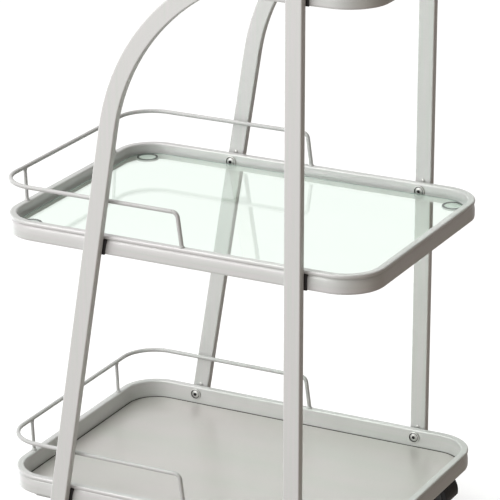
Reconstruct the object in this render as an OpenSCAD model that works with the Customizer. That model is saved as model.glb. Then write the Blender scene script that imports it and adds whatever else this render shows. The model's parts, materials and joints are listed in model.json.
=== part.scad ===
// Three-shelf trolley cart: two arched side frames carry a short top glass shelf, a middle
// glass shelf and a bottom tray, on four twin-wheel castors. Millimetres, +Z up, the floor
// is z = 0 and the origin is under the middle of the long shelves. Front is -Y.

/* [Shelves] */
// Length of the middle and bottom shelves
shelf_len = 580; // [560:1:620]
// Depth of every shelf over its rim
shelf_dep = 417; // [400:1:440]
// Length of the top shelf
top_len = 342; // [320:1:360]
// Height of the bottom rim's top edge
bottom_h = 96; // [96:0.5:98]
// Height of the middle rim's top edge
middle_h = 486.5; // [475:0.5:500]
// Height of the top rim's top edge
top_h = 879; // [872:1:882]
// Outer corner radius of a shelf rim in plan
corner_r = 59; // [56:1:62]

/* [Rim section] */
// Height of the rim
rim_h = 28; // [28:0.5:30]
// Width of the lip on the rim's top
lip_w = 11; // [10:0.5:12]
// Height of the rounded lip
lip_h = 6; // [5.5:0.5:7]
// Depth of the groove under the lip
groove_d = 2.6; // [2:0.1:3]

/* [Glass and tray] */
// Drop from the rim's top to the glass
glass_drop = 13.5; // [13:0.1:15]
// Thickness of the glass
glass_t = 5; // [4:1:5]
// Gap between the glass edge and the rim
glass_gap = 4.5; // [4.4:0.1:6]
// Drop from the rim's top to the tray floor
tray_drop = 26.5; // [26:0.1:26.5]
// Thickness of the tray sheet
tray_t = 1.2; // [1:0.1:1.5]

/* [Side frames] */
// Width of the tube, seen from the front
tube_w = 25; // [24:1:26]
// Thickness of the tube
tube_t = 12.5; // [12:0.5:14]
// Wall of the tube
tube_wall = 1.5; // [1.2:0.1:2]
// Space between a rim and a side frame
frame_gap = 2; // [1.5:0.5:3]
// Height of the frame's top
frame_h = 910.3; // [906:0.1:914]
// Centre of the upright leg
leg_x = 186.4; // [182:0.1:190]
// Radius of the arch at the tube's centre line
arch_r = 301; // [300:0.1:302]
// Radius of the bend from the arch into the upright leg
bend_r = 25; // [22:1:28]
// Height of the legs' cut ends
leg_end_h = 58; // [57:0.5:60]

/* [Guard rails] */
// Diameter of the bent wire
wire_d = 6; // [5:0.5:6.5]
// Diameter of the posts at the left end
post_d = 5; // [4:0.5:5.5]
// Height of the wire's centre line above the rim
rail_h = 49.5; // [44:0.5:56]
// Where the wire's straight runs end
rail_end_x = -6; // [-20:1:0]
// Lean of the wire's bent-down ends towards the left
rail_lean = 8; // [4:1:12]
// How far the wire stands out beyond the feet of its posts
rail_over = 2.5; // [0:0.5:2.5]
// Distance of the two posts from the middle
post_y = 126; // [110:1:132]

/* [Castors] */
// Distance of the castors from the middle, along the length
castor_x = 222; // [215:1:224]
// Distance of the castors from the middle, along the depth
castor_y = 149; // [145:1:155]
// Radius of a castor wheel
wheel_r = 25; // [24:0.5:25]
// Width of one wheel of a pair
wheel_w = 15; // [13:0.5:15]
// Distance of the wheel axis behind the swivel axis
trail = 20; // [19:0.5:21]

/* [Hidden] */

// Colours
paint = [0.80, 0.79, 0.77];
bright = [0.83, 0.84, 0.85];
glass_tint = [0.86, 0.96, 0.90, 0.4];
black = [0.05, 0.05, 0.05];
tyre_grey = [0.12, 0.12, 0.13];

// Smoothness of large bends, small rounds and holes
bend_fn = 128;
round_fn = 48;
small_fn = 32;
// Length that runs past whatever it cuts
past = 1000;
// Least gap that keeps two cut faces from lying on each other
slip = 0.05;

// Shelves in plan
right_x = shelf_len / 2;
left_x = -right_x;
top_left_x = right_x - top_len;
half_dep = shelf_dep / 2;
inner_y = half_dep - lip_w;
lip_mid = lip_w / 2;
rail_y = half_dep - lip_mid;
rail_r = corner_r - lip_mid;
rail_bow_r = 9;
rail_bow_run = rail_bow_r * tan((90 - rail_lean) / 2);
rail_foot_x = rail_end_x + rail_bow_run + rail_h * tan(rail_lean);
lip_r = 2.5;

// Rim section, as distance from its inner face and height from its top
rim_wall = 2;
groove_w = 1;
groove_u = lip_w - groove_d;
band_v = lip_h + groove_w;
flare_v = 10;
foot_r = 1.8;
screw_v = 11.5;

// Side frames
frame_y = half_dep + frame_gap;
frame_mid_y = frame_y + tube_t / 2;
tube_r = 2;
// Lean of the leaning leg and turns of the arch and the tight bend, 180 in all
lean_a = 9.12;
arch_turn = 72.5078;
bend_turn = 98.3722;
bend_z = frame_h - tube_w / 2 - bend_r;
arch_x = leg_x - bend_r - (arch_r - bend_r) * cos(bend_turn);
arch_z = bend_z - (arch_r - bend_r) * sin(bend_turn);
arch_start_x = arch_x - arch_r * cos(lean_a);
arch_start_z = arch_z + arch_r * sin(lean_a);
cap_t = 2.5;
cap_plug_h = 12;

// Screw joints
screw_d = 5.9;
screw_hole_d = 6.4;
insert_d = 9;
insert_len = 7;
insert_bore_d = 6;
washer_d = 18;
washer_t = 2.4;
cup_r = 7.3;
seat_t = 0.8;
head_d = 12;
head_t = 2.2;
hex_af = 5;
hex_depth = 2;
screw_end_y = frame_y + 8.5;
saddle_w = 32;
stud_d = 6;
stud_up = 1;

// Corner tabs and pads
tab_t = 2;
tab_r = 17;
tab_neck_w = 16;
tab_out = 21;
pad_d = 32;
pad_hole_d = 26.5;
pad_t = 1.2;
tray_gap = 1.6;

// Crossbars under the tray
bar_w = 42;
bar_flange = 8;
bar_t = 1.5;
bar_z = 62;
bar_top = bottom_h - tray_drop - tray_t;

// Castors
plate_w = 38;
plate_t = 2.5;
plate_r = 5;
plate_z = bar_z - plate_t;
bolt_off = 14;
bolt_d = 4.9;
bolt_hole_d = 5.4;
bolt_head_d = 9.5;
bolt_head_t = 2.8;
nut_af = 8;
nut_t = 4;
kingpin_d = 8;
kingpin_bore_d = 8.1;
kingpin_z = 48.5;
bore_z = 48;
ring_t = 1.5;
ring_d = 20;
boss_d = 20;
boss_z = 44;
boss_top = plate_z - ring_t - 0.1;
web_t = 8;
wheel_gap = 0.6;
axle_d = 6;
axle_bore_d = 6.1;
axle_head_d = 9;
axle_head_t = 1.2;
hub_in = 2;
hood_in_r = wheel_r + 1.3;
hood_r = wheel_r + 4.5;
hood_side_r = 21;
wheel_y = web_t / 2 + wheel_gap;
wheel_out_y = wheel_y + wheel_w;
hood_in_y = wheel_out_y + 0.6;
hood_y = hood_in_y + 1.6;
hood_cut_a = -12;

// Brake pedal, as places from the wheel's centre
pivot_r = 32.5;
pivot_a = 50;
pivot_x = pivot_r * cos(pivot_a);
pivot_z = pivot_r * sin(pivot_a);
pedal_pin_d = 3;
pedal_bore_d = 3.1;
pedal_hub_r = 2.6;
pedal_w = 15;
pedal_pad_w = 26;
ear_t = 2.5;
ear_in_y = pedal_w / 2 + 0.4;
ear_y = ear_in_y + ear_t;
shoe_w = 14;
shoe_in_w = 9;

// Shelf joints: where the frame's tube crosses a rim's screw line
function lean_leg_x(z) = arch_start_x + (z - arch_start_z) * tan(lean_a);
function arch_left_x(z) = arch_x - sqrt(pow(arch_r, 2) - pow(z - arch_z, 2));
function left_tube_x(z) = z < arch_start_z ? lean_leg_x(z) : arch_left_x(z);

// ---------------------------------------------------------------- shared shapes

// Rectangle with round corners, centred
module round_rect(w, h, r) {
    union() {
        square([w - 2 * r, h], center = true);
        square([w, h - 2 * r], center = true);
        for (sx = [-1, 1], sy = [-1, 1])
            translate([sx * (w / 2 - r), sy * (h / 2 - r)])
                circle(r = r, $fn = small_fn);
    }
}

// Rim section: x runs outwards from the inner face, y is the height
module rim_outer_section() {
    union() {
        translate([lip_mid, -lip_h / 2]) round_rect(lip_w, lip_h, lip_r);
        polygon([
            [0, -rim_h], [0, -lip_r], [groove_u, -lip_r],
            [groove_u, -band_v], [lip_w - 0.70 * groove_d, -band_v - 0.10 * flare_v],
            [lip_w - 0.42 * groove_d, -band_v - 0.28 * flare_v],
            [lip_w - 0.20 * groove_d, -band_v - 0.52 * flare_v],
            [lip_w - 0.06 * groove_d, -band_v - 0.78 * flare_v],
            [lip_w, -band_v - flare_v], [lip_w, -rim_h + 1.6 * foot_r],
            [lip_w - 0.3 * foot_r, -rim_h + 0.5 * foot_r], [lip_w - foot_r, -rim_h]
        ]);
    }
}

module rim_section() {
    roof = -lip_h + rim_wall;
    foot = -rim_h + rim_wall;
    difference() {
        rim_outer_section();
        polygon([
            [rim_wall, foot], [rim_wall, roof], [groove_u - rim_wall, roof],
            [groove_u - rim_wall, -band_v - rim_wall / 2],
            [lip_w - rim_wall, -band_v - flare_v], [lip_w - rim_wall, foot + foot_r / 2],
            [lip_w - rim_wall - foot_r / 2, foot]
        ]);
    }
}

// Outline of the space inside a rim, shrunk by inset
module inner_outline(x0, x1, inset) {
    len = x1 - x0 - 2 * (lip_w + inset);
    dep = shelf_dep - 2 * (lip_w + inset);
    translate([(x0 + x1) / 2, 0])
        round_rect(len, dep, corner_r - lip_w - inset);
}

// Solid of any section swept round a shelf's outline; x of the section runs outwards
module shelf_sweep(x0, x1) {
    turn_r = corner_r - lip_w;
    union() {
        for (c = [[x1 - corner_r, 1, 0], [x0 + corner_r, 1, 90],
                  [x0 + corner_r, -1, 180], [x1 - corner_r, -1, 270]])
            translate([c[0], c[1] * (half_dep - corner_r), 0])
                rotate([0, 0, c[2]])
                    rotate_extrude(angle = 90, $fn = bend_fn)
                        translate([turn_r, 0]) children();
        for (s = [-1, 1]) {
            translate([s > 0 ? x1 - lip_w : x0 + lip_w, s * (half_dep - corner_r), 0])
                rotate([90, 0, s > 0 ? 0 : 180])
                    linear_extrude(height = shelf_dep - 2 * corner_r) children();
            translate([s > 0 ? x0 + corner_r : x1 - corner_r, s * inner_y, 0])
                rotate([90, 0, s > 0 ? 90 : -90])
                    linear_extrude(height = x1 - x0 - 2 * corner_r) children();
        }
    }
}

// Places its children on both frames at a shelf's joints, with +Y pointing outwards
module at_joints(xs) {
    for (x = xs, s = [0, 1])
        mirror([0, s, 0]) translate([x, 0, 0]) children();
}

// Cylinder along +Y from y0 to y1
module y_rod(d, y0, y1, fn) {
    translate([0, y0, 0])
        rotate([-90, 0, 0]) cylinder(d = d, h = y1 - y0, $fn = fn);
}

function joints_x(rim_top) = [left_tube_x(rim_top - screw_v), leg_x];

// ---------------------------------------------------------------- side frames

module tube_section() {
    difference() {
        round_rect(tube_w, tube_t, tube_r);
        round_rect(tube_w - 2 * tube_wall, tube_t - 2 * tube_wall, tube_r - 1);
    }
}

// Bend of the tube about a centre on its -X side, from z = 0
module tube_bend(r, turn) {
    translate([-r, 0, 0])
        rotate([90, 0, 0])
            rotate_extrude(angle = turn, $fn = bend_fn * 2)
                translate([r, 0]) tube_section();
}

// Moves its children to the end of such a bend, with +Z along the tube
module after_bend(r, turn) {
    translate([-r, 0, 0]) rotate([0, -turn, 0]) translate([r, 0, 0]) children();
}

// Upright leg, bend, arch and leaning leg in one length of tube
module bent_tube() {
    upright_len = bend_z - leg_end_h;
    lean_len = (arch_start_z - leg_end_h) / cos(lean_a) + tube_w;
    difference() {
        translate([leg_x, 0, bend_z]) {
            translate([0, 0, -upright_len])
                linear_extrude(height = upright_len) tube_section();
            tube_bend(bend_r, bend_turn);
            after_bend(bend_r, bend_turn) {
                tube_bend(arch_r, arch_turn);
                after_bend(arch_r, arch_turn)
                    linear_extrude(height = lean_len) tube_section();
            }
        }
        translate([-past / 2, -past / 2, leg_end_h - past]) cube(past);
    }
}

// One side frame, standing on the +Y side
module side_frame() {
    difference() {
        translate([0, frame_mid_y, 0]) bent_tube();
        for (h = [bottom_h, middle_h, top_h], x = joints_x(h))
            translate([x, 0, h - screw_v])
                y_rod(insert_d, frame_y - 1, frame_y + tube_t / 2, small_fn);
    }
}

module front_frame() {
    color(paint) mirror([0, 1, 0]) side_frame();
}

module rear_frame() {
    color(paint) side_frame();
}

// Plastic plugs that close the four cut tube ends
module leg_end_caps() {
    plug_w = tube_w - 2 * tube_wall - 2 * slip;
    plug_t = tube_t - 2 * tube_wall - 2 * slip;
    foot_w = tube_w / cos(lean_a);
    color(black) for (s = [-1, 1]) translate([0, s * frame_mid_y, leg_end_h]) {
        translate([leg_x, 0, -cap_t])
            linear_extrude(height = cap_t) round_rect(tube_w, tube_t, tube_r);
        translate([leg_x, 0, 0])
            linear_extrude(height = cap_plug_h) round_rect(plug_w, plug_t, 1);
        translate([lean_leg_x(leg_end_h), 0, -cap_t])
            linear_extrude(height = cap_t) round_rect(foot_w, tube_t, tube_r);
        difference() {
            translate([lean_leg_x(leg_end_h), 0, 0]) rotate([0, lean_a, 0])
                translate([0, 0, -cap_plug_h / 2])
                    linear_extrude(height = 1.5 * cap_plug_h) round_rect(plug_w, plug_t, 1);
            translate([-past / 2, -past / 2, -past]) cube(past);
        }
    }
}

// Domed studs on the tubes that the rims are located by
module locating_studs() {
    color(bright)
        for (h = [bottom_h, middle_h, top_h], s = [0, 1], x = [left_tube_x(h + stud_up), leg_x])
            mirror([0, s, 0]) translate([x, frame_y, h + stud_up]) rotate([90, 0, 0])
                intersection() {
                    cylinder(d = stud_d, h = frame_gap - 0.2, $fn = small_fn);
                    translate([0, 0, -stud_d * 0.55]) sphere(r = stud_d * 0.86, $fn = small_fn);
                }
}

// Threaded inserts set in the tubes' inner walls
module frame_inserts() {
    color(bright)
        for (h = [bottom_h, middle_h, top_h])
            translate([0, 0, h - screw_v]) at_joints(joints_x(h))
                difference() {
                    y_rod(insert_d, frame_y, frame_y + insert_len, small_fn);
                    y_rod(insert_bore_d, frame_y - 1, frame_y + insert_len + 1, small_fn);
                }
}

// ---------------------------------------------------------------- shelves

module rim(x0, x1, h) {
    difference() {
        translate([0, 0, h]) shelf_sweep(x0, x1) rim_section();
        translate([0, 0, h - screw_v]) at_joints(joints_x(h))
            y_rod(screw_hole_d, inner_y - 1, half_dep + 1, small_fn);
    }
}

module top_rim() {
    color(paint) rim(top_left_x, right_x, top_h);
}

module middle_rim() {
    color(paint) rim(left_x, right_x, middle_h);
}

module bottom_rim() {
    color(paint) rim(left_x, right_x, bottom_h);
}

// Glass panel with ground edges
module glass_panel(x0, x1, h) {
    edge = 0.6;
    z0 = h - glass_drop - glass_t;
    translate([0, 0, z0 + edge])
        linear_extrude(height = glass_t - 2 * edge) inner_outline(x0, x1, glass_gap);
    translate([0, 0, z0])
        linear_extrude(height = glass_t) inner_outline(x0, x1, glass_gap + edge);
}

module top_glass() {
    color(glass_tint) union() glass_panel(top_left_x, right_x, top_h);
}

module middle_glass() {
    color(glass_tint) union() glass_panel(left_x, right_x, middle_h);
}

// Flat sheet floor of the bottom shelf
module bottom_tray() {
    color(paint) translate([0, 0, bar_top])
        linear_extrude(height = tray_t) inner_outline(left_x, right_x, tray_gap);
}

// Places its children at the middle of each corner tab, with +X towards the corner
module at_corners(x0, x1) {
    tab_y = half_dep - corner_r + tab_out;
    for (sx = [-1, 1], sy = [-1, 1])
        translate([sx > 0 ? x1 - corner_r + tab_out : x0 + corner_r - tab_out, sy * tab_y, 0])
            rotate(atan2(sy, sx)) children();
}

// Round tabs that a glass rests over, each with a neck welded into a corner of the rim
module corner_tabs(x0, x1, z) {
    translate([0, 0, z - tab_t])
        linear_extrude(height = tab_t)
            intersection() {
                at_corners(x0, x1) union() {
                    circle(r = tab_r, $fn = round_fn);
                    translate([0, -tab_neck_w / 2]) square([2 * tab_r, tab_neck_w]);
                }
                inner_outline(x0, x1, 0);
            }
}

module top_corner_tabs() {
    color(paint) corner_tabs(top_left_x, right_x, top_h - glass_drop - glass_t - pad_t);
}

module middle_corner_tabs() {
    color(paint) corner_tabs(left_x, right_x, middle_h - glass_drop - glass_t - pad_t);
}

module bottom_corner_tabs() {
    bar_edge = castor_x + bar_w / 2 + bar_flange + slip;
    color(paint) difference() {
        corner_tabs(left_x, right_x, bar_top);
        cube([2 * bar_edge, shelf_dep, 2 * bar_top + 2], center = true);
    }
}

// Rubber rings on the tabs that a glass rests on
module glass_pads(x0, x1, h) {
    translate([0, 0, h - glass_drop - glass_t - pad_t])
        at_corners(x0, x1) difference() {
            cylinder(d = pad_d, h = pad_t, $fn = round_fn);
            translate([0, 0, -1]) cylinder(d = pad_hole_d, h = pad_t + 2, $fn = round_fn);
        }
}

module top_glass_pads() {
    color(black) glass_pads(top_left_x, right_x, top_h);
}

module middle_glass_pads() {
    color(black) glass_pads(left_x, right_x, middle_h);
}

// ---------------------------------------------------------------- guard rails

// One bent-down end of the wire, at y = 0, with the straight run that leads to it
module wire_end(run_x) {
    leg_len = rail_h / cos(rail_lean);
    translate([run_x, 0, rail_h])
        rotate([0, 90, 0]) cylinder(d = wire_d, h = rail_end_x - run_x, $fn = small_fn);
    translate([rail_end_x, 0, rail_h]) sphere(d = wire_d + slip, $fn = small_fn);
    translate([rail_end_x, 0, rail_h - rail_bow_r]) {
        rotate([90, 0, 0]) rotate([0, 0, rail_lean])
            rotate_extrude(angle = 90 - rail_lean, $fn = round_fn)
                translate([rail_bow_r, 0]) circle(d = wire_d, $fn = small_fn);
        rotate([0, -rail_lean, 0]) translate([rail_bow_r, 0, 0]) {
            translate([0, 0, -leg_len]) cylinder(d = wire_d, h = leg_len, $fn = small_fn);
            sphere(d = wire_d + slip, $fn = small_fn);
        }
    }
}

// Wire bent to a U in plan with two posts at its closed end
module guard_rail(h) {
    turn_x = left_x + corner_r - rail_over;
    turn_y = half_dep - corner_r;
    end_x = left_x + lip_mid;
    post_lean = atan2(rail_over, rail_h);
    translate([0, 0, h]) {
        difference() {
            union() {
                for (s = [-1, 1]) {
                    translate([0, s * rail_y, 0]) wire_end(turn_x);
                    translate([turn_x, s * turn_y, rail_h])
                        rotate([0, 0, s > 0 ? 90 : 180])
                            rotate_extrude(angle = 90, $fn = bend_fn)
                                translate([rail_r, 0]) circle(d = wire_d, $fn = small_fn);
                    translate([end_x, s * post_y, 0]) rotate([0, -post_lean, 0])
                        translate([0, 0, -post_d])
                            cylinder(d = post_d, h = rail_h + post_d, $fn = small_fn);
                }
                translate([end_x - rail_over, 0, rail_h])
                    rotate([90, 0, 0])
                        cylinder(d = wire_d, h = 2 * turn_y, center = true, $fn = small_fn);
            }
            translate([-past / 2, -past / 2, -past]) cube(past);
        }
    }
}

module middle_guard_rail() {
    color(paint) guard_rail(middle_h);
}

module bottom_guard_rail() {
    color(paint) guard_rail(bottom_h);
}

// Small welded collars round the feet of a guard rail
module rail_collars(h) {
    collar_h = 1.6;
    collar_d = 9;
    end_x = left_x + lip_mid;
    post_lean = atan2(rail_over, rail_h);
    translate([0, 0, h]) for (s = [-1, 1]) {
        difference() {
            translate([rail_foot_x, s * rail_y, 0])
                cylinder(d = collar_d, h = collar_h, $fn = small_fn);
            translate([rail_foot_x, s * rail_y, 0]) rotate([0, -rail_lean, 0])
                translate([0, 0, -collar_h])
                    cylinder(d = wire_d + slip, h = 4 * collar_h, $fn = small_fn);
        }
        difference() {
            translate([end_x, s * post_y, 0])
                cylinder(d = collar_d, h = collar_h, $fn = small_fn);
            translate([end_x, s * post_y, 0]) rotate([0, -post_lean, 0])
                translate([0, 0, -collar_h])
                    cylinder(d = post_d + slip, h = 4 * collar_h, $fn = small_fn);
        }
    }
}

module middle_rail_collars() {
    color(paint) rail_collars(middle_h);
}

module bottom_rail_collars() {
    color(paint) rail_collars(bottom_h);
}

// ---------------------------------------------------------------- shelf joints

// Plastic saddle that fills the space between a rim's band and the tube
module saddle(lean) {
    top_v = lip_h + 0.6;
    difference() {
        intersection() {
            translate([-saddle_w, inner_y, 0]) rotate([90, 0, 90])
                linear_extrude(height = 2 * saddle_w)
                    difference() {
                        translate([groove_u - 0.5, -rim_h])
                            square([frame_y - inner_y - groove_u + 0.5, rim_h - top_v]);
                        rim_outer_section();
                    }
            translate([0, half_dep, -screw_v]) rotate([0, lean, 0])
                cube([saddle_w, past, past], center = true);
        }
        translate([0, 0, -screw_v])
            y_rod(screw_hole_d, inner_y, frame_y + 1, small_fn);
    }
}

module saddles(h, lean) {
    xs = joints_x(h);
    translate([0, 0, h]) {
        at_joints([xs[0]]) saddle(lean);
        at_joints([xs[1]]) saddle(0);
    }
}

module top_saddles() {
    color(black) saddles(top_h, 0);
}

module middle_saddles() {
    color(black) saddles(middle_h, lean_a);
}

module bottom_saddles() {
    color(black) saddles(bottom_h, lean_a);
}

// Cup washers against the rim's inner face
module washers(h) {
    translate([0, 0, h - screw_v]) at_joints(joints_x(h))
        translate([0, inner_y, 0]) rotate([90, 0, 0])
            rotate_extrude($fn = round_fn)
                polygon([
                    [screw_hole_d / 2, 0], [washer_d / 2, 0],
                    [washer_d / 2, 1], [washer_d / 2 - 0.4, washer_t - 0.4],
                    [washer_d / 2 - 1, washer_t], [cup_r, washer_t],
                    [cup_r, seat_t], [screw_hole_d / 2, seat_t]
                ]);
}

module top_washers() {
    color(bright) washers(top_h);
}

module middle_washers() {
    color(bright) washers(middle_h);
}

module bottom_washers() {
    color(bright) washers(bottom_h);
}

// Button-head screws with a hexagon socket
module screws(h) {
    crown_r = 11;
    crown = seat_t + head_t;
    translate([0, 0, h - screw_v]) at_joints(joints_x(h))
        translate([0, inner_y, 0]) rotate([90, 0, 0])
            difference() {
                union() {
                    intersection() {
                        translate([0, 0, seat_t])
                            cylinder(d = head_d, h = head_t, $fn = round_fn);
                        translate([0, 0, crown - crown_r])
                            sphere(r = crown_r, $fn = round_fn);
                    }
                    translate([0, 0, inner_y - screw_end_y])
                        cylinder(d = screw_d, h = screw_end_y - inner_y + crown / 2,
                            $fn = small_fn);
                }
                translate([0, 0, crown - hex_depth])
                    cylinder(d = hex_af / cos(30), h = hex_depth + 1, $fn = 6);
            }
}

module top_screws() {
    color(bright) screws(top_h);
}

module middle_screws() {
    color(bright) screws(middle_h);
}

module bottom_screws() {
    color(bright) screws(bottom_h);
}

// ---------------------------------------------------------------- crossbars

module at_castors() {
    for (sx = [-1, 1], sy = [-1, 1])
        translate([sx * castor_x, sy * castor_y, 0]) children();
}

module at_bolts() {
    at_castors()
        for (bx = [-1, 1], by = [-1, 1])
            translate([bx * bolt_off, by * bolt_off, 0]) children();
}

// Bar of hat section under the tray that the castors bolt to
module crossbar(s) {
    side_x = bar_w / 2;
    difference() {
        intersection() {
            translate([s * castor_x, 0, 0]) rotate([90, 0, 0])
                linear_extrude(height = shelf_dep, center = true)
                    union() {
                        translate([-side_x, bar_z]) square([bar_w, bar_t]);
                        for (m = [0, 1]) mirror([m, 0]) {
                            translate([side_x - bar_t, bar_z])
                                square([bar_t, bar_top - bar_z]);
                            translate([side_x - bar_t, bar_top - bar_t])
                                square([bar_flange + bar_t, bar_t]);
                        }
                    }
            translate([0, 0, bar_z])
                linear_extrude(height = bar_top) inner_outline(left_x, right_x, 0);
        }
        at_bolts() translate([0, 0, bar_z - 1])
            cylinder(d = bolt_hole_d, h = bar_t + 2, $fn = small_fn);
    }
}

module left_crossbar() {
    color(paint) crossbar(-1);
}

module right_crossbar() {
    color(paint) crossbar(1);
}

// ---------------------------------------------------------------- castors

// Top plates of the castors, bolted under the crossbars
module castor_plates() {
    color(bright) difference() {
        at_castors() translate([0, 0, plate_z])
            linear_extrude(height = plate_t) round_rect(plate_w, plate_w, plate_r);
        at_bolts() translate([0, 0, plate_z - 1])
            cylinder(d = bolt_hole_d, h = plate_t + 2, $fn = small_fn);
        at_castors() translate([0, 0, plate_z - 1])
            cylinder(d = kingpin_d, h = plate_t + 2, $fn = small_fn);
    }
}

module castor_kingpins() {
    color(bright) at_castors() translate([0, 0, kingpin_z])
        cylinder(d = kingpin_d, h = bar_z - kingpin_z, $fn = small_fn);
}

module castor_thrust_rings() {
    color(bright) at_castors() translate([0, 0, plate_z - ring_t])
        difference() {
            cylinder(d = ring_d, h = ring_t, $fn = round_fn);
            translate([0, 0, -1])
                cylinder(d = kingpin_d + 0.4, h = ring_t + 2, $fn = small_fn);
        }
}

module castor_bolts() {
    shank_top = bar_z + bar_t + nut_t - 0.2;
    color(bright) at_bolts() difference() {
        union() {
            translate([0, 0, plate_z - bolt_head_t])
                cylinder(d = bolt_head_d, h = bolt_head_t, $fn = small_fn);
            translate([0, 0, plate_z - 1])
                cylinder(d = bolt_d, h = shank_top - plate_z + 1, $fn = small_fn);
        }
        translate([0, 0, plate_z - bolt_head_t - 1])
            cylinder(d = 3 / cos(30), h = 2.6, $fn = 6);
    }
}

module castor_nuts() {
    color(bright) at_bolts() translate([0, 0, bar_z + bar_t]) difference() {
        cylinder(d = nut_af / cos(30), h = nut_t, $fn = 6);
        translate([0, 0, -1])
            cylinder(d = bolt_d + 2 * slip, h = nut_t + 2, $fn = small_fn);
    }
}

// Cylinder along Y about the wheel's centre
module wheel_round(r, y0, y1) {
    translate([trail, 0, wheel_r]) y_rod(2 * r, y0, y1, bend_fn);
}

// Room for the two wheels, on both sides of the web
module wheel_room() {
    for (m = [0, 1]) mirror([0, m, 0])
        wheel_round(hood_in_r, web_t / 2, hood_in_y);
}

// Ears of the brake pedal's hinge, seen from the side
module brake_ear() {
    foot = 5.5;
    translate([trail, 0, wheel_r]) rotate([90, 0, 0])
        for (y = [-ear_y, ear_in_y])
            translate([0, 0, y]) linear_extrude(height = ear_t)
                union() {
                    translate([pivot_x, pivot_z]) circle(r = 3.6, $fn = small_fn);
                    rotate(pivot_a) polygon([
                        [pivot_r, 3.6], [pivot_r, -3.6],
                        [hood_r - 1.5, -foot], [hood_r - 1.5, foot]
                    ]);
                }
}

// Swivel body: a cover over both wheels, the web between them and the kingpin's boss
module castor_hood(braked) {
    difference() {
        union() {
            difference() {
                union() {
                    intersection() {
                        wheel_round(hood_r, -hood_y, hood_y);
                        translate([trail, 0, wheel_r]) rotate([0, -hood_cut_a, 0])
                            translate([-past / 2, -past / 2, 1]) cube(past);
                    }
                    translate([0, 0, boss_z])
                        cylinder(d = boss_d, h = boss_top - boss_z, $fn = round_fn);
                    if (braked) brake_ear();
                }
                wheel_room();
                for (m = [0, 1]) mirror([0, m, 0])
                    wheel_round(hood_side_r, web_t / 2, past / 2);
            }
            wheel_round(9, -web_t / 2, web_t / 2);
        }
        wheel_round(axle_d / 2, -past / 2, past / 2);
        translate([0, 0, bore_z])
            cylinder(d = kingpin_bore_d, h = past, $fn = small_fn);
        if (braked) {
            translate([trail + pivot_x, 0, wheel_r + pivot_z])
                y_rod(pedal_bore_d, -past / 2, past / 2, small_fn);
            translate([trail + pivot_x - 7, -ear_in_y, wheel_r + pivot_z - 11])
                cube([12, ear_in_y - web_t / 2 - slip, 12]);
            translate([trail + pivot_x - 7, web_t / 2 + slip, wheel_r + pivot_z - 11])
                cube([12, ear_in_y - web_t / 2 - slip, 12]);
        }
    }
}

module castor_axle() {
    end_y = wheel_out_y - hub_in + 0.3;
    wheel_round(axle_d / 2, -end_y, end_y);
    for (m = [0, 1]) mirror([0, m, 0])
        wheel_round(axle_head_d / 2, end_y, end_y + axle_head_t);
}

// One wheel of a pair, on the +Y side of the web
module castor_wheel() {
    tread_r = 3;
    rim_r = wheel_r - tread_r;
    dish_r = wheel_r - 7;
    hub_r = 7.5;
    translate([trail, wheel_y, wheel_r]) rotate([-90, 0, 0])
        difference() {
            rotate_extrude($fn = bend_fn)
                union() {
                    translate([0, 0]) square([rim_r, wheel_w]);
                    translate([rim_r, tread_r]) square([tread_r, wheel_w - 2 * tread_r]);
                    for (y = [tread_r, wheel_w - tread_r])
                        translate([rim_r, y]) circle(r = tread_r, $fn = small_fn);
                }
            rotate_extrude($fn = bend_fn)
                polygon([
                    [hub_r, wheel_w + 1], [hub_r, wheel_w - 3.5],
                    [dish_r - 1.5, wheel_w - 4.5], [dish_r, wheel_w + 1]
                ]);
            translate([0, 0, wheel_w - hub_in])
                cylinder(r = hub_r + 1, h = hub_in + 1, $fn = bend_fn);
            translate([0, 0, -1])
                cylinder(d = axle_bore_d, h = wheel_w + 2, $fn = small_fn);
        }
}

// Foot pedal with its hinge pin and two shoes that reach the treads
module castor_brake() {
    translate([trail + pivot_x, 0, wheel_r + pivot_z]) {
        y_rod(2 * pedal_hub_r, -pedal_w / 2, pedal_w / 2, small_fn);
        y_rod(pedal_pin_d, -ear_y, ear_y, small_fn);
        rotate([90, 0, 0]) {
            linear_extrude(height = pedal_w, center = true)
                polygon([[0, pedal_hub_r], [10, 1.6], [10, -1.6], [1, -pedal_hub_r + 0.4]]);
            linear_extrude(height = pedal_pad_w, center = true)
                polygon([[6, 2.3], [14, 0.6], [15.5, -0.8], [15, -2.6], [13.5, -2.6], [6, -0.8]]);
            for (s = [-1, 1])
                translate([0, 0, s * (shoe_w + shoe_in_w) / 4])
                    linear_extrude(height = (shoe_w - shoe_in_w) / 2, center = true)
                        polygon([[-pedal_hub_r + 0.5, 0], [-2.4, -6.6], [-1, -7.6], [2, 0]]);
        }
    }
}

module at_castor(sx, sy) {
    translate([sx * castor_x, sy * castor_y, 0]) children();
}

module front_left_hood() {
    color(black) at_castor(-1, -1) castor_hood(true);
}

module front_left_axle() {
    color(bright) at_castor(-1, -1) castor_axle();
}

module front_left_outer_wheel() {
    color(tyre_grey) at_castor(-1, -1) mirror([0, 1, 0]) castor_wheel();
}

module front_left_inner_wheel() {
    color(tyre_grey) at_castor(-1, -1) castor_wheel();
}

module front_right_hood() {
    color(black) at_castor(1, -1) castor_hood(false);
}

module front_right_axle() {
    color(bright) at_castor(1, -1) castor_axle();
}

module front_right_outer_wheel() {
    color(tyre_grey) at_castor(1, -1) mirror([0, 1, 0]) castor_wheel();
}

module front_right_inner_wheel() {
    color(tyre_grey) at_castor(1, -1) castor_wheel();
}

module rear_left_hood() {
    color(black) at_castor(-1, 1) castor_hood(true);
}

module rear_left_axle() {
    color(bright) at_castor(-1, 1) castor_axle();
}

module rear_left_outer_wheel() {
    color(tyre_grey) at_castor(-1, 1) castor_wheel();
}

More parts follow.
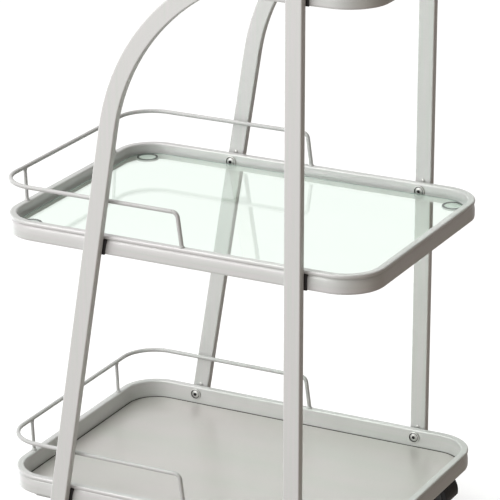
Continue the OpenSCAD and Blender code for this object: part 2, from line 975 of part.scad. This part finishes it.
module rear_left_inner_wheel() {
    color(tyre_grey) at_castor(-1, 1) mirror([0, 1, 0]) castor_wheel();
}

module rear_right_hood() {
    color(black) at_castor(1, 1) castor_hood(false);
}

module rear_right_axle() {
    color(bright) at_castor(1, 1) castor_axle();
}

module rear_right_outer_wheel() {
    color(tyre_grey) at_castor(1, 1) castor_wheel();
}

module rear_right_inner_wheel() {
    color(tyre_grey) at_castor(1, 1) mirror([0, 1, 0]) castor_wheel();
}

module front_left_brake() {
    color(black) at_castor(-1, -1) castor_brake();
}

module rear_left_brake() {
    color(black) at_castor(-1, 1) castor_brake();
}

front_frame();
rear_frame();
leg_end_caps();
locating_studs();
frame_inserts();
top_rim();
middle_rim();
bottom_rim();
top_glass();
middle_glass();
bottom_tray();
top_corner_tabs();
middle_corner_tabs();
bottom_corner_tabs();
top_glass_pads();
middle_glass_pads();
middle_guard_rail();
bottom_guard_rail();
middle_rail_collars();
bottom_rail_collars();
top_saddles();
middle_saddles();
bottom_saddles();
top_washers();
middle_washers();
bottom_washers();
top_screws();
middle_screws();
bottom_screws();
left_crossbar();
right_crossbar();
castor_plates();
castor_kingpins();
castor_thrust_rings();
castor_bolts();
castor_nuts();
front_left_hood();
front_left_axle();
front_left_outer_wheel();
front_left_inner_wheel();
front_right_hood();
front_right_axle();
front_right_outer_wheel();
front_right_inner_wheel();
rear_left_hood();
rear_left_axle();
rear_left_outer_wheel();
rear_left_inner_wheel();
rear_right_hood();
rear_right_axle();
rear_right_outer_wheel();
rear_right_inner_wheel();
front_left_brake();
rear_left_brake();
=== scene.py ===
"""Looks of the three-shelf trolley cart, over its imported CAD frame. Metres, in the CAD's own frame."""

import json
import math

import bmesh
import bpy
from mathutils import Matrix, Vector


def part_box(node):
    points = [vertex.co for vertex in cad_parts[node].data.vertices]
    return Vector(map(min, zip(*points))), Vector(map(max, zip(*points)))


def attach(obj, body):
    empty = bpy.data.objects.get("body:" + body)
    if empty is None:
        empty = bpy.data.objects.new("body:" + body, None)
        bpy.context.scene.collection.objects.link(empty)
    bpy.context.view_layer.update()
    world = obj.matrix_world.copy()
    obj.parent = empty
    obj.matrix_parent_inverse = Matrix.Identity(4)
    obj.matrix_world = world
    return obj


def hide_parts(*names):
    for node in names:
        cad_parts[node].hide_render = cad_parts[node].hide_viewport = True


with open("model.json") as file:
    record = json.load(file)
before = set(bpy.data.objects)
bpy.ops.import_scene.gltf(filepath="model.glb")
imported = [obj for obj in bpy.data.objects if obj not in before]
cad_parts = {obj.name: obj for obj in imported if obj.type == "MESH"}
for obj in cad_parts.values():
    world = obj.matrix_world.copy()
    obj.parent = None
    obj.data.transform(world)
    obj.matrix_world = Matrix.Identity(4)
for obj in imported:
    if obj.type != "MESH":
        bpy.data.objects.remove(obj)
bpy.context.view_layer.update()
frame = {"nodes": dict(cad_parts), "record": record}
NODES = frame["nodes"]
SCENE = bpy.context.scene

# ---------------------------------------------------------------- sizes, as in the CAD

# Shelf rims: their lips, round corners and the inner walls that the screws go through
RIMS = {shelf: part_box(shelf + "_rim") for shelf in ("top", "middle", "bottom")}
HALF_DEPTH = RIMS["middle"][1].y
RIM_CORNER_R = 0.059
LIP_W = 0.011
LIP_MID = LIP_W / 2
INNER_Y = HALF_DEPTH - LIP_W
GLASS_GAP = 0.0045
GLASS_EDGE_R = 0.0016
WASHER_R = 0.009

# Guard rails: the wire's height, its reach past its posts' feet, the lean of its ends, the posts' places
RAIL_H = 0.0495
RAIL_OVER = 0.0025
RAIL_END_LEAN = math.radians(8)
POST_Y = 0.126
COLLAR_R = 0.0045

# Crossbars: the spot welds along their flanges
FLANGE_T = 0.0015
FLANGE_MID = 0.0042
SPOT_WELDS = 9
SPOT_PITCH = 0.037

# Castors: swivel axes, and the sizes of the wheels, hoods and brake pedals
CASTORS = {
    joint["child"].removesuffix("_castor"): joint["pos_m"][:2]
    for joint in frame["record"]["behaviour"]["joints"]
    if joint["name"].endswith("_swivel")
}
TRAIL = 0.020
WHEEL_R = 0.025
WHEEL_IN_Y = 0.0046
WHEEL_W = 0.015
HOOD_R = 0.0295
HOOD_Y = 0.0218
HOOD_INNER_R = 0.0222
PEDAL_PIN_R = 0.0325
PEDAL_PIN_TURN = math.radians(50)


# ---------------------------------------------------------------- materials


def material(name, **values):
    """A Principled material with constant socket values, and its tree and shader."""
    mat = bpy.data.materials.new(name)
    mat.use_nodes = True
    tree = mat.node_tree
    shader = tree.nodes["Principled BSDF"]
    for key, value in values.items():
        shader.inputs[key.replace("_", " ")].default_value = value
    return mat, tree, shader


def place(tree):
    """The object's own coordinates, in metres."""
    return tree.nodes.new("ShaderNodeTexCoord").outputs["Object"]


def noise(tree, where, scale, detail=2.0, rough=0.5, stretch=None):
    """A noise texture; stretch scales the coordinates first."""
    if stretch:
        mapping = tree.nodes.new("ShaderNodeMapping")
        mapping.inputs["Scale"].default_value = stretch
        tree.links.new(where, mapping.inputs["Vector"])
        where = mapping.outputs["Vector"]
    tex = tree.nodes.new("ShaderNodeTexNoise")
    tex.inputs["Scale"].default_value = scale
    tex.inputs["Detail"].default_value = detail
    tex.inputs["Roughness"].default_value = rough
    tree.links.new(where, tex.inputs["Vector"])
    return tex.outputs["Fac"]


def ramp(tree, fac, stops):
    """A colour ramp through stops of (place, colour)."""
    node = tree.nodes.new("ShaderNodeValToRGB")
    for stop, (at, colour) in zip(node.color_ramp.elements, (stops[0], stops[-1])):
        stop.position = at
        stop.color = (*colour, 1)
    for at, colour in stops[1:-1]:
        node.color_ramp.elements.new(at).color = (*colour, 1)
    tree.links.new(fac, node.inputs["Fac"])
    return node.outputs["Color"]


def spread(tree, fac, low, high, start=0.3, end=0.7):
    """A value mapped from start..end to low..high."""
    node = tree.nodes.new("ShaderNodeMapRange")
    node.inputs["From Min"].default_value = start
    node.inputs["From Max"].default_value = end
    node.inputs["To Min"].default_value = low
    node.inputs["To Max"].default_value = high
    tree.links.new(fac, node.inputs["Value"])
    return node.outputs["Result"]


def bump(tree, shader, height, strength, distance, below=None):
    """Bump into the shader's normal, over an earlier bump if one is given."""
    node = tree.nodes.new("ShaderNodeBump")
    node.inputs["Strength"].default_value = strength
    node.inputs["Distance"].default_value = distance
    tree.links.new(height, node.inputs["Height"])
    if below:
        tree.links.new(below, node.inputs["Normal"])
    tree.links.new(node.outputs["Normal"], shader.inputs["Normal"])
    return node.outputs["Normal"]


def tone(colour, k):
    """A colour made lighter or darker."""
    return tuple(min(1.0, c * k) for c in colour)


def tinted(colour, tint):
    """A colour times a tint."""
    return tuple(c * t for c, t in zip(colour, tint))


GREENISH = (0.965, 0.99, 0.965)
MAUVE = (1.03, 1.0, 1.015)


def powder_coat(
    name, colour, metallic, rough, peel=0.05, streak=(1, 1, 0.03), coat=0.05, patchy=0.04
):
    """Satin silver powder coat: fine metallic flake, faint tinted streaks and a slight orange peel."""
    mat, tree, shader = material(name, Metallic=metallic, Coat_Weight=coat, Coat_Roughness=0.22)
    where = place(tree)
    streaks = noise(tree, where, 260, 2, 0.5, streak)
    flake = noise(tree, where, 2600, 1)
    mix = tree.nodes.new("ShaderNodeMix")
    mix.data_type = "RGBA"
    mix.blend_type = "MULTIPLY"
    mix.inputs[0].default_value = 1.0
    tree.links.new(
        ramp(tree, streaks, [(0.3, tinted(colour, GREENISH)), (0.7, tinted(colour, MAUVE))]),
        mix.inputs[6],
    )
    tree.links.new(
        ramp(tree, flake, [(0.35, (0.93, 0.93, 0.94)), (0.5, (1, 1, 1)), (0.7, (1, 1, 0.98))]),
        mix.inputs[7],
    )
    tree.links.new(mix.outputs[2], shader.inputs["Base Color"])
    tree.links.new(
        spread(tree, noise(tree, where, 45, 2), rough - patchy, rough + patchy),
        shader.inputs["Roughness"],
    )
    low = bump(tree, shader, noise(tree, where, 700, 2), peel, 0.0004)
    bump(tree, shader, flake, peel * 0.6, 0.0001, low)
    return mat


def clear_glass(name, colour, rough, shade):
    """Float glass that lamps pass through, with a trace of wiping marks."""
    mat, tree, shader = material(name, IOR=1.5, Transmission_Weight=1.0)
    where = place(tree)
    wipe = noise(tree, where, 3, 4, 0.6, (1, 2.6, 1))
    tree.links.new(
        ramp(tree, wipe, [(0.3, tone(colour, 0.992)), (0.7, tone(colour, 1.006))]),
        shader.inputs["Base Color"],
    )
    tree.links.new(spread(tree, wipe, rough, rough + 0.02), shader.inputs["Roughness"])
    clear = tree.nodes.new("ShaderNodeBsdfTransparent")
    clear.inputs["Color"].default_value = (*shade, 1)
    path = tree.nodes.new("ShaderNodeLightPath")
    mix = tree.nodes.new("ShaderNodeMixShader")
    tree.links.new(path.outputs["Is Shadow Ray"], mix.inputs[0])
    tree.links.new(shader.outputs[0], mix.inputs[1])
    tree.links.new(clear.outputs[0], mix.inputs[2])
    tree.links.new(mix.outputs[0], tree.nodes["Material Output"].inputs["Surface"])
    return mat


def moulded(name, colour, rough, grain, coat=0.0, fine=1400, shine=0.5):
    """Moulded plastic or nylon with a fine surface grain."""
    mat, tree, shader = material(
        name, Coat_Weight=coat, Coat_Roughness=0.12, Specular_IOR_Level=shine
    )
    where = place(tree)
    flow = noise(tree, where, 60, 3)
    tree.links.new(
        ramp(tree, flow, [(0.3, tone(colour, 0.8)), (0.7, tone(colour, 1.25))]),
        shader.inputs["Base Color"],
    )
    tree.links.new(spread(tree, flow, rough - 0.05, rough + 0.06), shader.inputs["Roughness"])
    bump(tree, shader, noise(tree, where, fine, 3, 0.6), grain, 0.0003)
    return mat


def plated_steel(name, colour, rough):
    """Satin nickel plate with fine turning marks and a slight bloom."""
    mat, tree, shader = material(name, Metallic=0.7)
    where = place(tree)
    bloom = noise(tree, where, 180, 3)
    tree.links.new(
        ramp(tree, bloom, [(0.3, tone(colour, 0.88)), (0.7, tone(colour, 1.06))]),
        shader.inputs["Base Color"],
    )
    tree.links.new(spread(tree, bloom, rough - 0.05, rough + 0.07), shader.inputs["Roughness"])
    bump(tree, shader, noise(tree, where, 900, 2, 0.5, (1, 6, 1)), 0.08, 0.0001)
    return mat


SILVER = (0.600, 0.603, 0.600)
FRAME_PAINT = powder_coat("frame_powder_coat", SILVER, 0.20, 0.46)
RIM_PAINT = powder_coat(
    "rim_powder_coat", tone(SILVER, 0.95), 0.22, 0.44, 0.04, (0.03, 0.03, 1), 0.30
)
WIRE_PAINT = powder_coat("wire_powder_coat", tone(SILVER, 0.80), 0.15, 0.55, 0.03)
TRAY_PAINT = powder_coat(
    "tray_powder_coat", (0.560, 0.545, 0.528), 0.50, 0.30, 0.004, (0.02, 0.06, 1), 0.05, 0.008
)
WELD_PAINT = powder_coat("weld_powder_coat", tone(SILVER, 0.94), 0.20, 0.50, 0.12, (1, 1, 1))
GLASS = clear_glass("float_glass", (0.87, 0.955, 0.895), 0.0, (0.93, 0.97, 0.94))
# The pane's edge has the green of thick glass, darkened further as painted shade for the shadowed gap to
# the rim
GLASS_EDGE = clear_glass("float_glass_edge", (0.05, 0.10, 0.075), 0.30, (0.7, 0.85, 0.77))
BLACK = moulded("black_nylon", (0.012, 0.010, 0.011), 0.48, 0.25)
CASTOR_BLACK = moulded("castor_black", (0.003, 0.003, 0.0035), 0.22, 0.03, 0.12, 900, 0.18)
PAD_RUBBER = moulded("pad_rubber", (0.03, 0.032, 0.03), 0.6, 0.2)
TREAD = moulded("wheel_rubber", (0.022, 0.022, 0.024), 0.55, 0.2)
STEEL = plated_steel("satin_nickel", (0.60, 0.60, 0.585), 0.42)
# Near-black for the painted shade in the gap round the bottom tray
GAP_SHADE_BLACK = moulded("tray_gap_shade_paint", (0.035, 0.030, 0.028), 0.5, 0.1)

LOOKS = {
    "frame_paint": FRAME_PAINT,
    "rim_paint": RIM_PAINT,
    "rail_paint": WIRE_PAINT,
    "tray_paint": TRAY_PAINT,
    "shelf_glass": GLASS,
    "pad_rubber": PAD_RUBBER,
    "black_plastic": BLACK,
    "castor_black": CASTOR_BLACK,
    "wheel_black": TREAD,
    "bright_steel": STEEL,
}
for part in frame["record"]["subparts"]:
    mesh = NODES[part["node"]].data
    mesh.materials.clear()
    mesh.materials.append(LOOKS[part["material_slot"]])


# ---------------------------------------------------------------- shelf glass


def shelf_outline(low, high, inset, steps=20):
    """Points of a shelf's outline, inset from the rim's outer edge, counter-clockwise."""
    r = RIM_CORNER_R - inset
    points = []
    for cx, cy, turn in (
        (high.x - RIM_CORNER_R, high.y - RIM_CORNER_R, 0),
        (low.x + RIM_CORNER_R, high.y - RIM_CORNER_R, 90),
        (low.x + RIM_CORNER_R, low.y + RIM_CORNER_R, 180),
        (high.x - RIM_CORNER_R, low.y + RIM_CORNER_R, 270),
    ):
        for k in range(steps + 1):
            a = math.radians(turn + 90 * k / steps)
            points.append((cx + r * math.cos(a), cy + r * math.sin(a)))
    return points


def glass_panel(shelf):
    """A glass panel with polished round edges, in the place of its CAD node."""
    name = shelf + "_glass_pane"
    node = shelf + "_glass"
    low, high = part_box(node)
    rings = []
    for centre_z, first in ((low.z + GLASS_EDGE_R, 270), (high.z - GLASS_EDGE_R, 0)):
        for k in range(5):
            a = math.radians(first + 90 * k / 4)
            rings.append((GLASS_EDGE_R * (1 - math.cos(a)), centre_z + GLASS_EDGE_R * math.sin(a)))
    bm = bmesh.new()
    loops = []
    for inset, z in rings:
        outline = shelf_outline(*RIMS[shelf], LIP_W + GLASS_GAP + inset)
        loops.append([bm.verts.new((x, y, z)) for x, y in outline])
    for under, over in zip(loops, loops[1:]):
        for k in range(len(under)):
            n = (k + 1) % len(under)
            face = bm.faces.new((under[k], under[n], over[n], over[k]))
            face.smooth = True
            face.material_index = 1
    bm.faces.new(loops[0][::-1])
    bm.faces.new(loops[-1])
    mesh = bpy.data.meshes.new(name)
    bm.to_mesh(mesh)
    bm.free()
    mesh.materials.append(GLASS)
    mesh.materials.append(GLASS_EDGE)
    panel = bpy.data.objects.new(name, mesh)
    SCENE.collection.objects.link(panel)
    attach(panel, node + "_panel")
    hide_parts(node)


glass_panel("top")
glass_panel("middle")


# ---------------------------------------------------------------- detail pieces


def piece(name, bm, mat, body, smooth=True):
    """Makes the built mesh a piece that rides on a body."""
    bmesh.ops.recalc_face_normals(bm, faces=bm.faces)
    for face in bm.faces:
        face.smooth = smooth
    mesh = bpy.data.meshes.new(name)
    bm.to_mesh(mesh)
    bm.free()
    mesh.materials.append(mat)
    obj = bpy.data.objects.new(name, mesh)
    SCENE.collection.objects.link(obj)
    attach(obj, body)
    return obj


def skin(bm, rings, closed):
    """Faces between rings of points; an open run gets end faces."""
    loops = [[bm.verts.new(p) for p in ring] for ring in rings]
    pairs = list(zip(loops, loops[1:]))
    if closed:
        pairs.append((loops[-1], loops[0]))
    for under, over in pairs:
        for k in range(len(under)):
            n = (k + 1) % len(under)
            bm.faces.new((under[k], under[n], over[n], over[k]))
    if not closed:
        bm.faces.new(loops[0][::-1])
        bm.faces.new(loops[-1])


def tube(bm, path, radius, closed=False, sides=10, ripple=0.0):
    """A round bead along a path; ripple makes it swell and shrink as a weld does."""
    count = len(path)
    rings = []
    side = Vector((0, 0, 0))
    for k, p in enumerate(path):
        ahead = path[(k + 1) % count] if closed or k < count - 1 else p
        behind = path[k - 1] if closed or k > 0 else p
        along = (Vector(ahead) - Vector(behind)).normalized()
        if side.length < 0.5:
            side = along.orthogonal().normalized()
        side = (side - along * side.dot(along)).normalized()
        up = along.cross(side)
        r = radius * (1 + ripple * math.sin(k * 2.1))
        if not closed and k in (0, count - 1):
            r *= 0.4
        turns = [2 * math.pi * i / sides for i in range(sides)]
        rings.append([Vector(p) + side * r * math.cos(a) + up * r * math.sin(a) for a in turns])
    skin(bm, rings, closed)


def lathe(bm, profile, centre, axis, steps=40, lean=0.0):
    """Turns a closed profile of (radius, distance along the axis) about an axis at a centre."""
    rings = []
    for k in range(steps):
        a = 2 * math.pi * k / steps
        if axis == "Z":
            ring = [Vector((r * math.cos(a) - h * lean, r * math.sin(a), h)) for r, h in profile]
        else:
            ring = [Vector((r * math.cos(a), h, r * math.sin(a))) for r, h in profile]
        rings.append([Vector(centre) + p for p in ring])
    skin(bm, rings, True)


def between(a, b, count):
    """Evenly spaced points from a to b."""
    a, b = Vector(a), Vector(b)
    return [a.lerp(b, k / (count - 1)) for k in range(count)]


def rail_details(shelf):
    """Flared welds at the feet of a guard rail, and the small fillets where its posts meet the wire."""
    low, high = RIMS[shelf]
    top = high.z
    end_x = low.x + LIP_MID
    rail_y = HALF_DEPTH - LIP_MID
    foot_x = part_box(shelf + "_rail_collars")[1].x - COLLAR_R
    post_lean = RAIL_OVER / RAIL_H
    flare = [(0.0015, 0.0002), (0.0044, 0.0), (0.0045, 0.0004), (0.0038, 0.0009)]
    flare += [(0.0034, 0.0016), (0.0031, 0.0026), (0.0015, 0.0026)]
    bm = bmesh.new()
    for side in (-1, 1):
        lathe(bm, flare, (foot_x, side * rail_y, top), "Z", lean=math.tan(RAIL_END_LEAN))
        thin = [(r - 0.0004, h) for r, h in flare]
        lathe(bm, thin, (end_x, side * POST_Y, top), "Z", lean=post_lean)
    collars = piece(shelf + "_rail_foot_welds", bm, WIRE_PAINT, "cart")
    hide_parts(shelf + "_rail_collars")
    fillet = [(0.0015, -0.0055), (0.0026, -0.0055), (0.0029, -0.0040), (0.0034, -0.0028)]
    fillet += [(0.0034, -0.0018), (0.0015, -0.0018)]
    bm = bmesh.new()
    for side in (-1, 1):
        spot = (end_x - RAIL_OVER, side * POST_Y, top + RAIL_H)
        lathe(bm, fillet, spot, "Z", 24, post_lean)
    piece(shelf + "_rail_post_welds", bm, WIRE_PAINT, "cart")


rail_details("middle")
rail_details("bottom")


def screw_painted_shade(shelf):
    """Painted shade: black linings in the sockets of a shelf's screws, and black rings round their
    heads.
    """
    low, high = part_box(shelf + "_washers")
    socket = [(0.1, 1.03), (2.84, 1.03), (2.84, 2.85), (2.66, 2.85), (2.66, 1.20), (0.1, 1.20)]
    ring = [(6.05, 0.85), (7.25, 0.85), (7.25, 1.55), (6.65, 1.75), (6.05, 1.55)]
    bm = bmesh.new()
    for x in (low.x + WASHER_R, high.x - WASHER_R):
        for side in (-1, 1):
            seat = (x, side * high.y, (low.z + high.z) / 2)
            for profile, steps in ((socket, 6), (ring, 40)):
                lathe(bm, [(r / 1000, -side * d / 1000) for r, d in profile], seat, "Y", steps)
    # These black pieces are painted shade, standing for the shade in the sockets and in the gaps round
    # the heads
    piece(shelf + "_screw_painted_shade", bm, BLACK, "cart", smooth=False)


for shelf in RIMS:
    screw_painted_shade(shelf)


def painted_tray_gap_shade():
    """Painted shade: a dark bead in the gap between the tray and its rim, standing for the shadow in
    that gap.
    """
    bead_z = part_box("bottom_tray")[1].z - 0.0004
    outline = shelf_outline(*RIMS["bottom"], LIP_W + 0.0008)
    bm = bmesh.new()
    tube(bm, [(x, y, bead_z) for x, y in outline], 0.0011, True)
    piece("tray_gap_painted_shade", bm, GAP_SHADE_BLACK, "cart")


painted_tray_gap_shade()

# A rim's outline from the crest of its lip down its outer face, in mm from its inner wall and top
RIM_FACE = [(5.5, 0.1), (9, -0.1), (10.7, -1.2), (11.1, -3), (10.6, -5), (8.9, -6), (8.5, -6.8)]
RIM_FACE += [(9.2, -8), (10.0, -9.8), (10.6, -12.2), (10.95, -15), (11.1, -18), (11.1, -25.5)]
RIM_FACE += [(10.4, -27.3), (9, -28.1)]


def rim_seam(shelf):
    """The dressed butt weld that closes a rim, on its rear face."""
    low, high = RIMS[shelf]
    x = (low.x + high.x) / 2
    corners = [(x, INNER_Y + u / 1000, high.z + v / 1000) for u, v in RIM_FACE]
    path = [corners[0]]
    for a, b in zip(corners, corners[1:]):
        count = max(2, round((Vector(b) - Vector(a)).length / 0.0008))
        path += [tuple(p) for p in between(a, b, count)[1:]]
    bm = bmesh.new()
    tube(bm, path, 0.0007, sides=8, ripple=0.16)
    piece(shelf + "_rim_butt_weld", bm, WELD_PAINT, "cart")


for shelf in RIMS:
    rim_seam(shelf)


def tab_welds(shelf):
    """Beads that join the necks of the corner tabs to the rim."""
    low, high = RIMS[shelf]
    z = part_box(shelf + "_corner_tabs")[0].z
    bm = bmesh.new()
    for sx, cx in ((-1, low.x + RIM_CORNER_R), (1, high.x - RIM_CORNER_R)):
        for sy in (-1, 1):
            cy = sy * (HALF_DEPTH - RIM_CORNER_R)
            r = RIM_CORNER_R - LIP_W - 0.0004
            mid = math.atan2(sy, sx)
            turns = [mid + 0.32 * (k / 11 - 0.5) for k in range(12)]
            path = [(cx + r * math.cos(a), cy + r * math.sin(a), z) for a in turns]
            tube(bm, path, 0.0011, sides=8, ripple=0.18)
    piece(shelf + "_tab_welds", bm, WELD_PAINT, "cart")


tab_welds("top")
tab_welds("middle")


def crossbar_welds(side):
    """Spot welds along both flanges of a crossbar, and the beads at its ends."""
    low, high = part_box(side + "_crossbar")
    flange_z = high.z - FLANGE_T
    first_y = -SPOT_PITCH * (SPOT_WELDS - 1) / 2
    spot = [(0.0, 0.0003), (0.0, -0.0001), (0.0014, -0.0001), (0.0020, -0.00035)]
    spot += [(0.0027, -0.00035), (0.0031, 0.0), (0.0031, 0.0003)]
    bm = bmesh.new()
    for x in (low.x + FLANGE_MID, high.x - FLANGE_MID):
        for k in range(SPOT_WELDS):
            centre = (x, first_y + SPOT_PITCH * k, flange_z)
            lathe(bm, [(r + 0.0002, h) for r, h in spot], centre, "Z", 20)
    for end in (-1, 1):
        y = end * (INNER_Y - 0.0006)
        path = between((low.x + 0.012, y, low.z + 0.0002), (high.x - 0.012, y, low.z + 0.0002), 44)
        tube(bm, path, 0.0012, sides=8, ripple=0.18)
    piece(side + "_crossbar_welds", bm, WELD_PAINT, "cart")


crossbar_welds("left")
crossbar_welds("right")


def wheel_ribs(corner, which):
    """Moulded ring, hub collar and six ribs in the dish of a castor wheel."""
    cx, cy = CASTORS[corner]
    out = 1 if (cy > 0) == (which == "outer") else -1
    centre = Vector((cx + TRAIL, cy + out * WHEEL_IN_Y, WHEEL_R))
    dish = WHEEL_W - 0.0048
    bm = bmesh.new()
    ring = [(19.4, -0.3), (19.6, 0.15), (20.0, 0.3), (20.4, 0.15), (20.6, -0.3)]
    lathe(bm, [(r / 1000, out * (WHEEL_W + h / 1000)) for r, h in ring], centre, "Y", 64)
    collar = [(6.2, -2.5), (6.3, -1.75), (6.9, -1.6), (7.3, -1.75), (7.4, -2.5)]
    lathe(bm, [(r / 1000, out * (WHEEL_W + h / 1000)) for r, h in collar], centre, "Y", 48)
    stations = ((0.0070, 0.0011, 0.0022), (0.0100, 0.0009, 0.0026), (0.0172, 0.0008, 0.0024))
    for k in range(6):
        a = math.radians(30 + 60 * k)
        along = Vector((math.cos(a), 0, math.sin(a)))
        across = Vector((-math.sin(a), 0, math.cos(a)))
        rings = []
        for r, wide, high in stations:
            foot = out * dish
            crest = out * (dish + high)
            points = [(-wide, foot), (-wide * 0.8, crest), (0, crest + out * 0.0003)]
            points += [(wide * 0.8, crest), (wide, foot)]
            rings.append([centre + along * r + across * w + Vector((0, h, 0)) for w, h in points])
        skin(bm, rings, False)
    body = corner + "_" + which + "_wheel_body"
    piece(corner + "_" + which + "_wheel_ribs", bm, TREAD, body)


def hood_bead(corner):
    """The rounded bead along the free edges of a castor's hood."""
    cx, cy = CASTORS[corner]
    centre = Vector((cx + TRAIL, cy, WHEEL_R))
    r = HOOD_R - 0.0006
    y = HOOD_Y - 0.0006
    turns = [math.radians(-9 + 174 * k / 60) for k in range(61)]
    arc = [Vector((r * math.cos(a), 0, r * math.sin(a))) for a in turns]
    path = [centre + p + Vector((0, y, 0)) for p in arc]
    path += [centre + arc[-1] + Vector((0, y - 2 * y * k / 12, 0)) for k in range(1, 12)]
    path += [centre + p - Vector((0, y, 0)) for p in reversed(arc)]
    path += [centre + arc[0] + Vector((0, -y + 2 * y * k / 12, 0)) for k in range(1, 12)]
    bm = bmesh.new()
    tube(bm, path, 0.0009, True, 10)
    for side in (-1, 1):
        face = Vector((0, side * (HOOD_Y + 0.0001), 0))
        inner = [centre + p * (HOOD_INNER_R / r) + face for p in arc[2:-2]]
        tube(bm, inner, 0.0005, sides=8)
    piece(corner + "_hood_bead", bm, CASTOR_BLACK, corner + "_castor")


def pedal_ribs(corner):
    """Grip ribs across the tread of a brake pedal."""
    cx, cy = CASTORS[corner]
    out = PEDAL_PIN_R * math.cos(PEDAL_PIN_TURN)
    up = PEDAL_PIN_R * math.sin(PEDAL_PIN_TURN)
    pivot = Vector((cx + TRAIL + out, cy, WHEEL_R + up))
    bm = bmesh.new()
    for k in range(5):
        x = 0.0072 + 0.0015 * k
        z = 0.0023 - (x - 0.006) * 0.2125
        ends = [pivot + Vector((x, s * 0.0115, z)) for s in (-1, 1)]
        tube(bm, between(ends[0], ends[1], 7), 0.00045, sides=8)
    piece(corner + "_pedal_ribs", bm, BLACK, corner + "_brake_pedal")


for corner in CASTORS:
    hood_bead(corner)
    wheel_ribs(corner, "outer")
    wheel_ribs(corner, "inner")
for corner in ("front_left", "rear_left"):
    pedal_ribs(corner)


# ---------------------------------------------------------------- studio


def area_light(name, spot, aim, size, power):
    """A square soft light that faces a point."""
    lamp = bpy.data.lights.new(name, "AREA")
    lamp.shape = "SQUARE"
    lamp.size = size
    lamp.energy = power
    light = bpy.data.objects.new(name, lamp)
    light.location = spot
    light.rotation_euler = (Vector(aim) - Vector(spot)).to_track_quat("-Z", "Y").to_euler()
    SCENE.collection.objects.link(light)


floor_mesh = bpy.data.meshes.new("studio_floor")
bm = bmesh.new()
bmesh.ops.create_grid(bm, x_segments=1, y_segments=1, size=40)
bm.to_mesh(floor_mesh)
bm.free()
floor = bpy.data.objects.new("studio_floor", floor_mesh)
SCENE.collection.objects.link(floor)
floor_mat, tree, shader = material(
    "pale_floor", Roughness=0.8, Emission_Strength=0.78, Emission_Color=(1, 1, 1, 1)
)
tree.links.new(
    ramp(tree, noise(tree, place(tree), 2, 3), [(0.3, (0.29, 0.29, 0.29)), (0.7, (0.31, 0.31, 0.31))]),
    shader.inputs["Base Color"],
)
floor_mesh.materials.append(floor_mat)
floor.visible_diffuse = False
floor.visible_glossy = False

world = bpy.data.worlds.new("studio")
SCENE.world = world
world.use_nodes = True
tree = world.node_tree
direction = tree.nodes.new("ShaderNodeTexCoord").outputs["Generated"]
DIM_WALLS = (0.175, 0.143, 0.118)


def glow(towards, start, colour, below=None):
    """Adds a soft bright patch of the studio's walls, in one direction, to the light so far."""
    dot = tree.nodes.new("ShaderNodeVectorMath")
    dot.operation = "DOT_PRODUCT"
    dot.inputs[1].default_value = Vector(towards).normalized()
    tree.links.new(direction, dot.inputs[0])
    fall = tree.nodes.new("ShaderNodeMapRange")
    fall.interpolation_type = "SMOOTHSTEP"
    fall.inputs["From Min"].default_value = start
    tree.links.new(dot.outputs["Value"], fall.inputs["Value"])
    add = tree.nodes.new("ShaderNodeMix")
    add.data_type = "RGBA"
    add.blend_type = "ADD"
    tree.links.new(fall.outputs["Result"], add.inputs[0])
    if below:
        tree.links.new(below, add.inputs[6])
    else:
        add.inputs[6].default_value = (*DIM_WALLS, 1)
    add.inputs[7].default_value = (*colour, 1)
    return add.outputs[2]


light = glow((-0.62, -0.78, 0.05), 0.0, (0.95, 0.97, 0.98))
light = glow((-0.50, 0.84, 0.20), 0.30, (0.70, 0.74, 0.76), light)
light = glow((-0.82, 0.44, -0.34), 0.80, (2.0, 2.1, 2.15), light)
light = glow((0.80, -0.40, -0.34), 0.80, (0.50, 0.46, 0.41), light)

# Seen directly or through the glass, the studio is plain white
path = tree.nodes.new("ShaderNodeLightPath")
seen = tree.nodes.new("ShaderNodeMix")
seen.data_type = "RGBA"
either = tree.nodes.new("ShaderNodeMath")
either.operation = "MAXIMUM"
tree.links.new(path.outputs["Is Camera Ray"], either.inputs[0])
tree.links.new(path.outputs["Is Transmission Ray"], either.inputs[1])
tree.links.new(either.outputs[0], seen.inputs[0])
tree.links.new(light, seen.inputs[6])
seen.inputs[7].default_value = (1, 1, 1, 1)
tree.links.new(seen.outputs[2], tree.nodes["Background"].inputs["Color"])

area_light("key", (-1.15, -1.9, 1.75), (0, 0, 0.6), 1.2, 27)
area_light("top", (-1.3, -0.3, 5.0), (0, 0, 0), 3, 125)

SCENE.view_settings.view_transform = "Standard"
SCENE.view_settings.look = "None"

# ---------------------------------------------------------------- camera

AZIMUTH, TILT = math.radians(27.049), math.radians(19.715)
camera_data = bpy.data.cameras.new("camera")
camera_data.lens = 205.69
camera_data.sensor_width = 36
camera_data.clip_end = 100
camera = bpy.data.objects.new("camera", camera_data)
camera.location = (1.7655, -3.4382, 1.8015)
look = Vector(
    (-math.sin(AZIMUTH) * math.cos(TILT), math.cos(AZIMUTH) * math.cos(TILT), -math.sin(TILT))
)
camera.rotation_euler = look.to_track_quat("-Z", "Y").to_euler()
SCENE.collection.objects.link(camera)
SCENE.camera = camera
